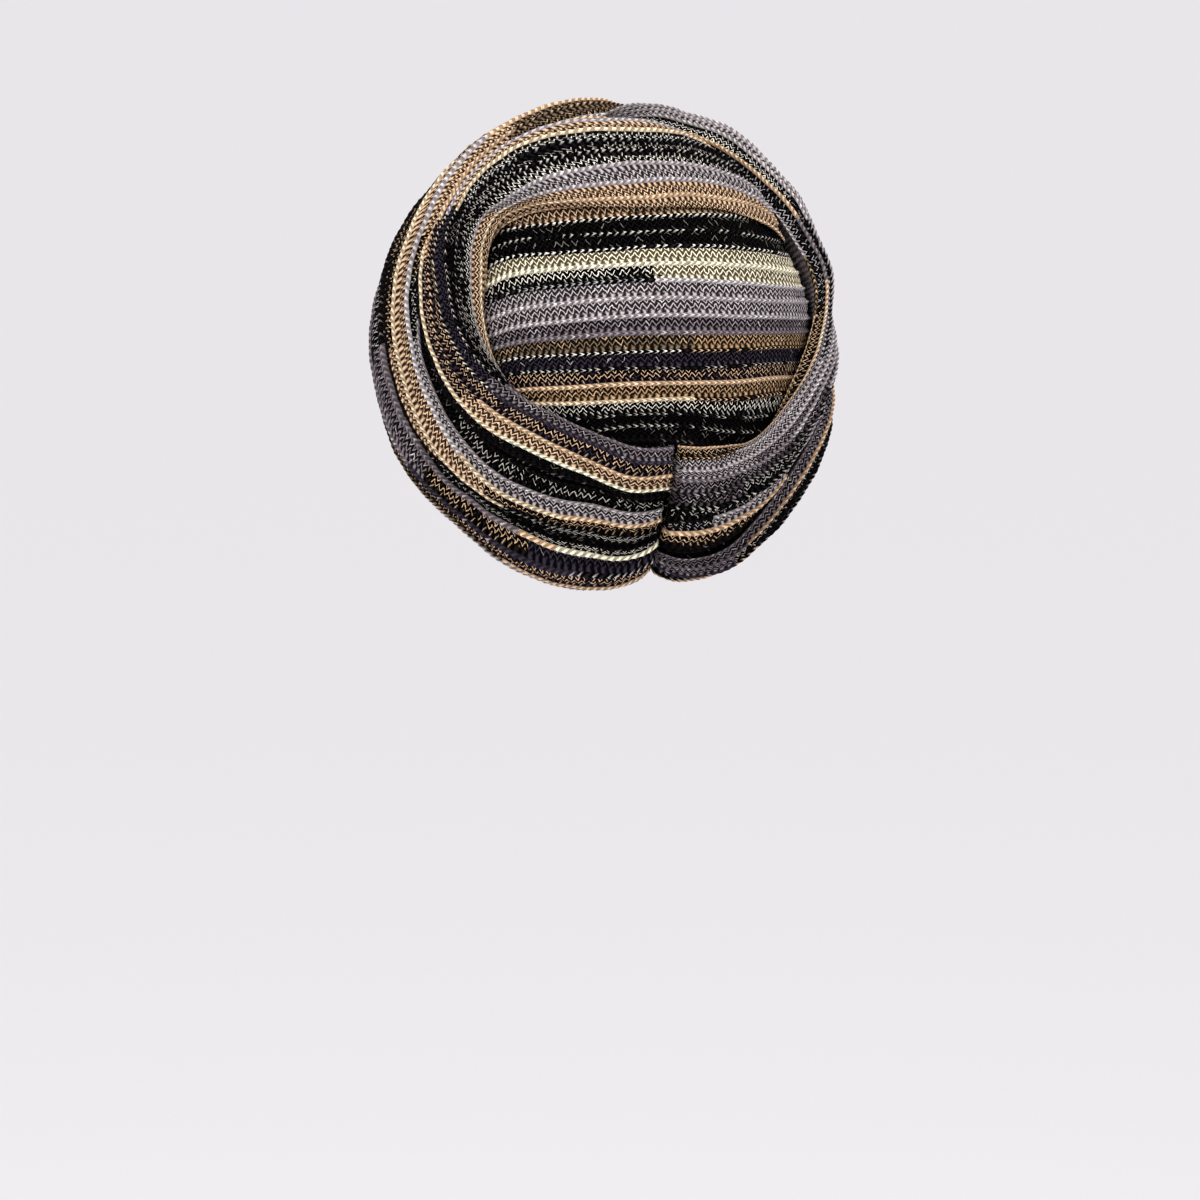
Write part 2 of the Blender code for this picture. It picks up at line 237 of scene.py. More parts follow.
knit = {
    "rowPitch": 0.0083,      # from one raised cord to the next
    "stitch": 0.0034,        # one V along a row
    "station": 0.00085,      # spacing of the mesh along a row
    "parts": (0, 0.09, 0.18, 0.27, 0.46, 0.64, 0.82),       # strips of one row
    "relief": (-0.10, 0.90, 0.90, -0.05, 0.25, -0.20, -0.60),  # their heights, mm
    "scallop": 0.16,         # mm, each stitch's own swell
    "waver": 0.30,           # mm, uneven hand of the cloth
    "endRound": 0.0034,      # how a cut end turns in at the seam
    "endThick": 0.15,        # share of its thickness that a cut end keeps
    "cordShare": 0.265,      # of a row, its raised cord
    "underShare": 0.26,      # of a row, what the last cord takes round the underside
    "underRoom": 0.45,       # share of the underside that the rows of the top may use
    "cordLift": 0.0004,      # metres, relief above this is cord
    "valley": -0.4,          # the swell between the cords, against the cord's own
    "sink": 0.00035,         # metres, the whole knit lies this much lower
    "edgeReach": 0.004,      # metres from an edge where the relief is full again
    "edgeRelief": 0.25,      # share of the relief that is left at an edge
    "evenOut": 0.014,        # of a row's length, how far the table's corners are evened out
    "waves": ((190, 1.7, 0), (83, -2.9, 1), (410, 4.1, 0)),  # by the metre, by the row, start
}
# each yarn: its own colour, painted shade for the gaps between its strands, its second ply and how often
# that shows
yarns = {
    "black": ("#110e10", "#010101", "#6f6861", 0.27),
    "flecked": ("#121012", "#010101", "#beb9af", 0.56),
    "whiteOnBlack": ("#181517", "#020202", "#efeadc", 0.76),
    "tanOnBlack": ("#1a1513", "#020202", "#d3b18c", 0.68),
    "greyOnBlack": ("#1c191b", "#020202", "#b0abac", 0.62),
    "purple": ("#352f3a", "#08070a", "#a09aa0", 0.20),
    "tanOnPurple": ("#2b2530", "#070609", "#d9b590", 0.70),
    "creamOnPurple": ("#2b2530", "#070609", "#e6dabb", 0.68),
    "mauve": ("#7e7478", "#161215", "#c0b8b8", 0.24),
    "mauveOnBlack": ("#4b4347", "#080607", "#aaa1a2", 0.50),
    "lavender": ("#b8afb0", "#2b2628", "#dad4d2", 0.26),
    "paleLavender": ("#cac3c2", "#332d2f", "#e3dccf", 0.20),
    "brown": ("#75634f", "#120d0a", "#c9a984", 0.34),
    "darkTan": ("#ae8d69", "#1d140d", "#dcb993", 0.36),
    "tan": ("#e0bd99", "#33241a", "#b59571", 0.22),
    "sand": ("#ead2b0", "#463627", "#c8aa84", 0.14),
    "cream": ("#f2eacd", "#5a4e38", "#d8ccab", 0.18),
}


def toLinear(code):
    parts = [int(code[k:k + 2], 16) / 255 for k in (1, 3, 5)]
    return [c / 12.92 if c <= 0.04045 else ((c + 0.055) / 1.055) ** 2.4 for c in parts]


def smoothAlong(values, spread):
    # evens a table's corners out along the rows
    reach = max(1, int(spread * 3))
    weights = np.exp(-0.5 * (np.arange(-reach, reach + 1) / spread) ** 2)
    padded = np.pad(values, (reach, reach), mode="reflect", reflect_type="odd")
    return np.convolve(padded, weights / weights.sum(), mode="valid")


def fillRow(known, step, lowest, highest):
    # rows that the table leaves out follow at one pitch, closer where the room ends
    known = list(known)
    named = [k for k, v in enumerate(known) if v is not None]
    first, last = named[0], named[-1]
    if first:
        closer = min(step, (known[first] - lowest) / first)
        for k in range(first):
            known[k] = known[first] - closer * (first - k)
    if last < len(known) - 1:
        closer = min(step, (highest - known[last]) / (len(known) - 1 - last))
        for k in range(last + 1, len(known)):
            known[k] = known[last] + closer * (k - last)
    return known


def yarnAlong(words, alongs):
    # "tan .3 black" is tan from the seam and black from three tenths along
    parts = words.split()
    starts = [0.0] + [float(x) for x in parts[1::2]]
    order = np.searchsorted(starts, alongs, side="right") - 1
    return np.array([list(yarns).index(parts[::2][k]) for k in order])


def cornersOf(mesh):
    corners = np.empty(len(mesh.loops), int)
    mesh.loops.foreach_get("vertex_index", corners)
    return corners


def writeMap(mesh, stitch, row):
    # the knit's own map: stitches along a row, and rows
    corners = cornersOf(mesh)
    uv = np.stack([stitch[corners], row[corners]], -1)
    mesh.uv_layers.new(name="knit").data.foreach_set("uv", uv.astype(np.float32).ravel())


def knitPiece(name, sections, top, across, cords, chart, mat, spare=12):
    # sections: closed loops of points; cords: where each raised cord lies on its loop, metres
    count = len(sections)
    loop = np.concatenate([sections, sections[:, :1]], 1)
    arc = np.cumsum(np.linalg.norm(np.diff(loop, axis=1), axis=2), axis=1)
    arc = np.concatenate([np.zeros((count, 1)), arc], 1)
    whole, over = arc[:, -1], arc[:, top]
    rowCount = cords.shape[1]
    parts = np.array(knit["parts"])
    columns = [cords[:, k, None] * (1 - parts) + cords[:, k + 1, None] * parts
               for k in range(rowCount - 1)]
    last = cords[:, -1]
    gap = (cords[:, 0] + whole - last)[:, None]
    columns.append(last[:, None] + gap * np.linspace(0, 1, spare + 1)[None, :])
    place = np.concatenate(columns, 1)
    rowAt = np.concatenate([(np.arange(rowCount - 1)[:, None] + parts).ravel(),
                            rowCount - 1 + np.linspace(0, 1, spare + 1) * knit["underShare"]])
    lift = np.concatenate([np.tile(knit["relief"], rowCount - 1), np.zeros(spare + 1)]) / 1000
    wrapped = np.mod(place, whole[:, None])
    points = np.empty(place.shape + (3,))
    mid = np.empty_like(points)
    ring = np.concatenate([across[0], across[0, :1]])
    for i in range(count):
        where = np.interp(wrapped[i], arc[i], ring)
        for k in range(3):
            points[i, :, k] = np.interp(wrapped[i], arc[i], loop[i, :, k])
            upper = np.interp(where, ring[:top + 1], loop[i, :top + 1, k])
            lower = np.interp(where, ring[top:][::-1], loop[i, top:, k][::-1])
            mid[i, :, k] = (upper + lower) / 2
    alongs = np.arange(count) / (count - 1)
    steps = np.linalg.norm(np.diff(sections[:, top // 4:top - top // 4], axis=0), axis=2).mean(1)
    run = np.concatenate([[0], np.cumsum(steps)])
    length = run[-1]
    # a cut end turns in to its middle, so that the seam shows rounded ends
    reach = np.minimum(run, length - run) / knit["endRound"]
    full = np.sqrt(np.clip(1 - (1 - reach).clip(0) ** 2, 0, 1))
    full = (knit["endThick"] + (1 - knit["endThick"]) * full)[:, None, None]
    points = mid + (points - mid) * full
    normals = np.cross(np.gradient(points, axis=0), np.roll(points, -1, 1) - np.roll(points, 1, 1))
    normals = unit(normals + 1e-12)
    middle = points.mean(1, keepdims=True)
    if ((points - middle) * normals).sum() < 0:
        normals = -normals
    # the relief stays away from the neighbours at the edges
    near = np.minimum(wrapped, np.abs(over[:, None] - wrapped))
    near = np.minimum(near, whole[:, None] - wrapped)
    shown = np.clip(near / knit["edgeReach"], 0, 1) * (1 - knit["edgeRelief"]) + knit["edgeRelief"]
    swell = np.cos(run[:, None] / knit["stitch"] * 2 * math.pi)
    cord = (lift > knit["cordLift"])[None, :]
    height = lift[None, :] * shown
    height = height + knit["scallop"] / 1000 * shown * np.where(cord, swell, knit["valley"] * swell)
    waver = sum(np.sin(run[:, None] * alongIt + rowAt * byRow + start)
                for alongIt, byRow, start in knit["waves"])
    height = height + knit["waver"] / 3000 * waver * shown - knit["sink"]
    points = points + normals * (height * full[..., 0])[..., None]
    points[:, -1] = points[:, 0]

    mesh = gridMesh(name, points.shape[1] - 1, count - 1, points)
    station, column = faceGrid(mesh, points.shape[1])
    rowOfFace = rowAt[column]
    rank = np.floor(rowOfFace).astype(int)
    onCord = rowOfFace - rank < knit["cordShare"]
    which = np.array([yarnAlong(words, alongs) for words in chart])
    line = np.minimum(rank * 2 + ~onCord, len(chart) - 1)
    writeYarns(mesh, which[line, station], onCord)
    writeMap(mesh, np.repeat(run / knit["stitch"], points.shape[1]), np.tile(rowAt, count))
    closeMesh(mesh)
    mesh.materials.append(mat)
    piece = bpy.data.objects.new(name, mesh)
    bpy.context.scene.collection.objects.link(piece)
    print(name, "dressed,", len(mesh.polygons) * 2, "triangles")
    return piece


def gridMesh(name, across, along, points):
    bm = bmesh.new()
    bmesh.ops.create_grid(bm, x_segments=across, y_segments=along, size=1)
    mesh = bpy.data.meshes.new(name)
    bm.to_mesh(mesh)
    bm.free()
    mesh.vertices.foreach_set("co", points.astype(np.float32).ravel())
    return mesh


def faceGrid(mesh, width):
    # which station and which strip each face of the grid lies in
    lowest = cornersOf(mesh).reshape(-1, 4).min(1)
    return lowest // width, lowest % width


# the second layer, between, holds painted shade for the gaps between strands
yarnLayers = ("yarn", "between", "fleck")
plainCord = {"below": 0.3, "closed": 0.65, "fleckedAbove": 0.4, "more": 0.1}


def writeYarns(mesh, which, onCord):
    # three colours a face: the yarn, the painted gap shade and the second ply; the first one's alpha is
    # how often the second ply shows
    table = np.array([[toLinear(code) for code in yarn[:3]] for yarn in yarns.values()])
    share = np.array([yarn[3] for yarn in yarns.values()])[which]
    chosen = table[which]
    # a plain cord closes up, so its painted gap shade is mixed towards the yarn's own colour
    plain = onCord & (share < plainCord["below"])
    closed = plainCord["closed"]
    chosen[plain, 1] = chosen[plain, 1] * (1 - closed) + chosen[plain, 0] * closed
    share = np.where(onCord & (share > plainCord["fleckedAbove"]), share + plainCord["more"], share)
    corner = np.repeat(np.arange(len(which)), 4)
    for k, name in enumerate(yarnLayers):
        layer = mesh.color_attributes.new(name=name, type="FLOAT_COLOR", domain="CORNER")
        values = np.concatenate([chosen[corner, k], share[corner, None]], 1)
        layer.data.foreach_set("color", values.astype(np.float32).ravel())


def closeMesh(mesh):
    # joins the loop's two sides, shuts its ends and turns every face outwards
    bm = bmesh.new()
    bm.from_mesh(mesh)
    bmesh.ops.remove_doubles(bm, verts=bm.verts, dist=1e-6)
    rims = [edge for edge in bm.edges if edge.is_boundary]
    if rims:
        made = bmesh.ops.holes_fill(bm, edges=rims, sides=0)
        uv = bm.loops.layers.uv["knit"]
        colours = [bm.loops.layers.float_color[k] for k in yarnLayers]
        for face in made["faces"]:
            for loop in face.loops:
                other = next(k for k in loop.vert.link_loops if k.face != face)
                loop[uv].uv = other[uv].uv
                for layer in colours:
                    loop[layer] = other[layer]
    bmesh.ops.recalc_face_normals(bm, faces=bm.faces)
    for face in bm.faces:
        face.smooth = True
    bm.to_mesh(mesh)
    bm.free()


def addNode(tree, kind, *inputs, **settings):
    # inputs in the node's own order; a node stands for its first output
    node = tree.nodes.new("ShaderNode" + kind)
    for key, value in settings.items():
        setattr(node, key, value)
    for place, value in enumerate(inputs):
        if isinstance(value, bpy.types.Node):
            value = value.outputs[0]
        if isinstance(value, bpy.types.NodeSocket):
            tree.links.new(value, node.inputs[place])
        elif value is not None:
            node.inputs[place].default_value = value
    return node


# lengths are shares of a stitch or a row unless metres are given; a pair is where an edge
# starts to show and where it is full
chunkyKnit = {
    "cordEnd": 0.27,         # the raised cord's part of a row
    # cordSideShade thins a cord's strands at its sides: lower relief there, and painted shade
    "cordSlant": 0.62, "cordEdge": (0.07, 0.34), "cordSideShade": -0.7,
    "zigHeight": 0.38, "zigStep": 0.42, "zigStart": 0.9, "zigEdge": (0.19, 0.45),
    # legShadeAndHeight keeps less strand in the short legs: lower relief, and painted shade under the
    # next cord
    "legSlant": 0.35, "legEdge": (0.12, 0.38), "legShadeAndHeight": 0.78, "legsFrom": (0.62, 0.80),
    "strayScale": 420.0, "wobble": 0.22, "rowWobble": 0.06,  # how far a strand strays
    "plies": 0.00045,        # metres, the twist inside one strand
    "fleckLength": 0.28,     # share of a step that one stitch takes, in runs of the second ply
    "fleckRuns": 0.35, "fleckEdge": (0.30, 0.45), "fray": (0.36, 0.50, 0.35, 1.0),
    # tone is uneven dye; strandShading paints a highlight on each strand and shade towards its gaps
    "toneScale": 70.0, "tone": (0.5, 0.46), "plyTone": 0.8, "strandShading": 0.95,
    "bumpDepth": 0.0015,     # metres
    "plyRelief": 0.22, "roughness": 0.95, "specular": 0.02,
}


def chunkyKnitCloth(name):
    # acrylic and wool yarn, machine knitted in raised cords: matt, soft-edged stitches, with painted
    # shade in the gaps between strands
    look = chunkyKnit
    mat = bpy.data.materials.new(name)
    mat.use_nodes = True
    tree = mat.node_tree
    tree.nodes.clear()
    uv = addNode(tree, "SeparateXYZ", addNode(tree, "UVMap", uv_map="knit"))
    place = addNode(tree, "TexCoord").outputs["Object"]
    stray = addNode(tree, "TexNoise", place, None, look["strayScale"], 2.0, 0.5)
    stray = addNode(tree, "Math", stray, 0.5, operation="SUBTRACT")
    along = addNode(tree, "Math", stray, look["wobble"] * 3, uv.outputs[0], operation="MULTIPLY_ADD")
    row = addNode(tree, "Math", stray, look["rowWobble"], uv.outputs[1], operation="MULTIPLY_ADD")
    part = addNode(tree, "Math", row, operation="FRACT")
    # the raised cord: strands that meet in a row of arrow heads
    side = addNode(tree, "Math", part, 2 / look["cordEnd"], -1.0, operation="MULTIPLY_ADD")
    side = addNode(tree, "Math", side, operation="ABSOLUTE")
    slant = addNode(tree, "Math", side, look["cordSlant"], along, operation="MULTIPLY_ADD")
    wave = addNode(tree, "Math", slant, 0.5, operation="PINGPONG")
    cord = addNode(tree, "MapRange", wave, *look["cordEdge"], 0.0, 1.0,
                   interpolation_type="SMOOTHSTEP")
    # the cord's strands thin towards its upper and lower sides, lowering the bump and letting the gap
    # colour in: painted shade on a round cord
    rounded = addNode(tree, "Math", side, 2.0, operation="POWER")
    rounded = addNode(tree, "Math", rounded, look["cordSideShade"], 1.0, operation="MULTIPLY_ADD")
    cord = addNode(tree, "Math", cord, rounded, operation="MULTIPLY")
    # beside it, zigzag lines in a stack, the lower ones cut into short legs
    zigPart = addNode(tree, "MapRange", part, look["cordEnd"], 1.0, 0.0, 1.0)
    peak = addNode(tree, "Math", along, 0.5, operation="PINGPONG")
    peak = addNode(tree, "Math", peak, -look["zigHeight"] * 2, zigPart, operation="MULTIPLY_ADD")
    stack = addNode(tree, "Math", peak, 1 / look["zigStep"], look["zigStart"],
                    operation="MULTIPLY_ADD")
    stackLine = addNode(tree, "Math", stack, operation="FLOOR")
    off = addNode(tree, "Math", stack, 0.5, operation="PINGPONG")
    zig = addNode(tree, "MapRange", off, *look["zigEdge"], 0.0, 1.0, interpolation_type="SMOOTHSTEP")
    leg = addNode(tree, "Math", zigPart, look["legSlant"], along, operation="MULTIPLY_ADD")
    leg = addNode(tree, "Math", leg, 0.5, operation="PINGPONG")
    leg = addNode(tree, "MapRange", leg, *look["legEdge"], 0.0, 1.0, interpolation_type="SMOOTHSTEP")
    # the legs keep less of the strand: lower in the bump, and darker with painted shade under the next
    # cord
    leg = addNode(tree, "Math", leg, look["legShadeAndHeight"], operation="MULTIPLY")
    deep = addNode(tree, "MapRange", zigPart, *look["legsFrom"], 0.0, 1.0)
    zig = addNode(tree, "Mix", deep, None, zig, leg)
    isZig = addNode(tree, "Math", part, look["cordEnd"], operation="GREATER_THAN")
    strand = addNode(tree, "Mix", isZig, None, cord, zig)
    ply = addNode(tree, "TexNoise", place, None, 1 / look["plies"], 3.0, 0.6)
    # colours: a yarn, its second ply leg by leg, and painted shade behind the strands
    yarn = addNode(tree, "VertexColor", layer_name="yarn")
    between = addNode(tree, "VertexColor", layer_name="between")
    second = addNode(tree, "VertexColor", layer_name="fleck")
    legAlong = addNode(tree, "Math", along, 2.0, operation="MULTIPLY")
    cellAlong = addNode(tree, "Mix", isZig, None, slant, legAlong)
    cellAlong = addNode(tree, "Math", cellAlong, operation="FLOOR")
    stackLine = addNode(tree, "Math", stackLine, isZig, operation="MULTIPLY")
    cellRow = addNode(tree, "Math", row, operation="FLOOR")
    # a row takes seven numbers, so that each line of its stack has its own
    cellRow = addNode(tree, "Math", cellRow, 7.0, stackLine, operation="MULTIPLY_ADD")
    cell = addNode(tree, "CombineXYZ", cellAlong, cellRow)
    chance = addNode(tree, "TexWhiteNoise", cell, noise_dimensions="2D")
    # the second ply comes and goes over several stitches of one line
    group = addNode(tree, "Math", along, look["fleckLength"], operation="MULTIPLY")
    group = addNode(tree, "Math", group, operation="FLOOR")
    group = addNode(tree, "CombineXYZ", group, cellRow)
    group = addNode(tree, "TexWhiteNoise", group, noise_dimensions="2D")
    chance = addNode(tree, "Mix", look["fleckRuns"], None, chance, group)
    fleck = addNode(tree, "Math", chance, yarn.outputs["Alpha"], operation="LESS_THAN")
    core = addNode(tree, "Mix", isZig, None, wave, off)
    core = addNode(tree, "MapRange", core, *look["fleckEdge"], 0.0, 1.0,
                   interpolation_type="SMOOTHSTEP")
    core = addNode(tree, "Math", core, strand, operation="MULTIPLY")
    fleck = addNode(tree, "Math", fleck, core, operation="MULTIPLY")
    fray = addNode(tree, "MapRange", ply, *look["fray"])
    fleck = addNode(tree, "Math", fleck, fray, operation="MULTIPLY")
    colour = addNode(tree, "Mix", fleck, None, None, None, None, None, yarn.outputs["Color"],
                     second.outputs["Color"], data_type="RGBA")
    colour = addNode(tree, "Mix", strand, None, None, None, None, None, between.outputs["Color"],
                     colour.outputs[2], data_type="RGBA")
    # brightness of each place: uneven dye, then the plies' twist, then a painted highlight on each
    # strand and painted shade in the gaps between strands
    tone = addNode(tree, "TexNoise", place, None, look["toneScale"], 2.0, 0.5)
    light = addNode(tree, "Math", tone, *look["tone"], operation="MULTIPLY_ADD")
    twist = addNode(tree, "Math", ply, 0.5, operation="SUBTRACT")
    light = addNode(tree, "Math", twist, look["plyTone"], light, operation="MULTIPLY_ADD")
    light = addNode(tree, "Math", strand, look["strandShading"], light, operation="MULTIPLY_ADD")
    colour = addNode(tree, "VectorMath", colour.outputs[2], None, None, None, operation="SCALE")
    tree.links.new(light.outputs[0], colour.inputs["Scale"])
    relief = addNode(tree, "Math", ply, look["plyRelief"], strand, operation="MULTIPLY_ADD")
    bump = addNode(tree, "Bump", 1.0, look["bumpDepth"])
    tree.links.new(relief.outputs[0], bump.inputs["Height"])
    shader = addNode(tree, "BsdfPrincipled", colour)
    shader.inputs["Roughness"].default_value = look["roughness"]
    shader.inputs["Specular IOR Level"].default_value = look["specular"]
    tree.links.new(bump.outputs[0], shader.inputs["Normal"])
    out = addNode(tree, "OutputMaterial", shader)
    out.is_active_output = True
    return mat


def foldPiece(name, settings):
    length = foldLength(name)
    count = int(length / knit["station"]) + 1
    alongs = np.linspace(0, 1, count)
    sections, top, across = foldSections(name, alongs, length)
    stops = np.array(list(settings["cords"]))
    # the loop's size at each stop of the table
    few, _, _ = foldSections(name, stops, length)
    steps = np.linalg.norm(np.diff(np.concatenate([few, few[:, :1]], 1), axis=1), axis=2)
    over, whole = steps[:, :top].sum(1), steps.sum(1)
    rowCount = settings["rows"]
    table = []
    for k, known in enumerate(settings["cords"].values()):
        known = [None] + list(known)
        known = known + [None] * (rowCount - len(known))
        room = knit["underRoom"] * (whole[k] - over[k]) / over[k]
        table.append(fillRow(known, knit["rowPitch"] / over[k], -room, 1 + room))
    table = np.array(table) * over[:, None]
    cords = np.stack([smoothAlong(np.interp(alongs, stops, table[:, k]), count * knit["evenOut"])
                      for k in range(rowCount)], 1)
    mat = chunkyKnitCloth(settings["material"])
    piece = knitPiece(name.replace("_fold", "_cloth"), sections, top, across, cords,
                      settings["chart"], mat)
    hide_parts(name)
    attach(piece, "root")
    return piece


gap = None
leftBack = {
    "material": "chunkyKnitLeftInner", "slot": "left_back_knit", "fill": 0.5, "rows": 14,
    # at each place along: where the cords lie, 0 at the inner edge and 1 at the outer
    "cords": {
        0.00: (gap, gap, gap, gap, gap, 0.08, 0.30, 0.51, 0.74),
        0.05: (gap, gap, gap, gap, gap, 0.03, 0.25, 0.47, 0.64),
        0.10: (gap, gap, gap, gap, gap, 0.02, 0.18, 0.42, 0.58),
        0.15: (gap, gap, gap, gap, gap, 0.00, 0.17, 0.39, 0.56),
        0.20: (gap, gap, gap, gap, gap, 0.00, 0.17, 0.38, 0.57),
        0.25: (gap, gap, gap, gap, gap, 0.03, 0.21, 0.41, 0.58),
        0.30: (gap, 0.00, 0.05, 0.08, 0.12, 0.17, 0.28, 0.45, 0.58),
        0.35: (gap, 0.01, 0.10, 0.15, 0.20, 0.25, 0.37, 0.50, 0.62),
        0.40: (gap, 0.02, 0.12, 0.18, 0.25, 0.31, 0.44, 0.52, 0.65),
        0.45: (gap, 0.04, 0.13, 0.20, 0.28, 0.34, 0.45, 0.50, 0.63),
        0.50: (0.00, 0.05, 0.13, 0.20, 0.29, 0.37, 0.47, 0.53, 0.62),
        0.55: (0.04, 0.09, 0.17, 0.29, 0.38, 0.46, 0.55, 0.63, 0.74),
        0.60: (0.04, 0.13, 0.24, 0.37, 0.48, 0.57, 0.66, 0.76, 0.87),
        0.65: (0.04, 0.15, 0.28, 0.42, 0.54, 0.66, 0.78, 0.90, 1.02),
        0.70: (0.05, 0.15, 0.27, 0.42, 0.56, 0.70, 0.84, 0.97, gap),
        0.75: (0.05, 0.15, 0.27, 0.38, 0.49, 0.61, 0.78, 0.92, gap),
        0.80: (0.07, 0.16, 0.28, 0.37, 0.46, 0.57, 0.73, 0.87, gap),
        0.85: (0.07, 0.18, 0.30, 0.42, 0.53, 0.63, 0.78, 0.93, gap),
        0.90: (0.10, 0.21, 0.33, 0.46, 0.60, 0.74, 0.86, gap, gap),
        0.95: (0.17, 0.26, 0.42, 0.56, 0.72, 0.88, gap, gap, gap),
        1.00: (0.23, 0.34, 0.53, 0.75, gap, gap, gap, gap, gap)},
    # the yarn of each cord and of the stitches after it, in turn, from the inner row out
    "chart": [
        "tan", "tan",
        "tan", "tan",
        "sand .56 lavender", "tan .54 lavender",
        "lavender", "whiteOnBlack",
        "flecked", "flecked",
        "greyOnBlack", "mauve .25 black .58 whiteOnBlack",
        "mauve .25 flecked .56 sand", "mauve .27 purple .58 tan",
        "purple .26 creamOnPurple .56 lavender", "tanOnPurple .60 lavender",
        "tan .26 tanOnPurple .56 tan", "tan .28 tanOnPurple .50 tan",
        "cream .20 sand .52 tan", "black .52 tanOnPurple",
        "black", "flecked", "black", "flecked", "mauve", "black", "black", "black", "tan"],
}
leftFront = {
    "material": "chunkyKnitLeftOuter", "slot": "left_front_knit", "fill": 0.6, "rows": 18,
    "cords": {
        0.00: (0.04, 0.12, 0.22, 0.33, 0.36, 0.39, 0.46, 0.68, 0.87),
        0.05: (0.04, 0.13, 0.21, 0.33, 0.37, 0.41, 0.47, 0.65, 0.83),
        0.10: (0.05, 0.15, 0.23, 0.34, 0.37, 0.40, 0.44, 0.63, 0.84),
        0.15: (0.06, 0.17, 0.25, 0.35, 0.38, 0.40, 0.43, 0.60, 0.76),
        0.20: (0.06, 0.17, 0.24, 0.34, 0.38, 0.42, 0.46, 0.58, 0.68),
        0.25: (0.05, 0.14, 0.20, 0.32, 0.38, 0.44, 0.50, 0.61, 0.72),
        0.30: (0.04, 0.12, 0.17, 0.29, 0.37, 0.44, 0.51, 0.63, 0.78),
        0.35: (0.04, 0.12, 0.17, 0.28, 0.36, 0.43, 0.49, 0.64, 0.76),
        0.40: (0.03, 0.09, 0.15, 0.28, 0.36, 0.43, 0.49, 0.64, 0.76),
        0.45: (0.02, 0.08, 0.15, 0.27, 0.35, 0.42, 0.49, 0.63, 0.76),
        0.50: (0.02, 0.08, 0.15, 0.27, 0.35, 0.43, 0.50, 0.62, 0.75),
        0.55: (0.02, 0.07, 0.14, 0.28, 0.36, 0.44, 0.51, 0.62, 0.74),
        0.60: (0.02, 0.07, 0.13, 0.29, 0.37, 0.45, 0.52, 0.61, 0.70),
        0.70: (0.03, 0.09, 0.15, 0.26, 0.33, 0.41, 0.48, 0.55, 0.62),
        0.85: (0.06, 0.14, 0.22, 0.33, 0.43, 0.53, 0.63, 0.73, 0.83),
        1.00: (0.10, 0.20, 0.30, 0.40, 0.50, 0.60, 0.70, 0.80, 0.90)},
    "chart": [
        "black", "flecked",
        "black .44 tan .60 lavender", "flecked .25 black .43 tan .62 brown",
        "lavender .39 black .43 tan .63 brown", "lavender .37 flecked .45 tanOnBlack .50 tan .64 brown",
        "tan .10 sand .22 paleLavender .47 lavender .62 tan", "tanOnBlack .18 tan",
        "greyOnBlack .16 sand", "whiteOnBlack .13 tanOnBlack .19 tan .40 tanOnBlack .60 tan",
        "black", "black .45 tanOnPurple",
        "black .16 flecked .30 black .50 sand", "whiteOnBlack .12 flecked .30 tanOnBlack",
        "cream .10 tan .14 mauve .44 black", "purple .13 tanOnBlack .27 mauve .44 greyOnBlack",
        "greyOnBlack .08 purple .30 mauve", "tanOnPurple .20 tanOnBlack .34 mauve",
        "tan .16 brown .36 black", "tan .05 black",
        "lavender", "lavender", "flecked", "black", "tan", "tan", "purple", "purple",
        "cream", "tan", "black", "flecked", "mauve", "mauve", "black", "black"],
}
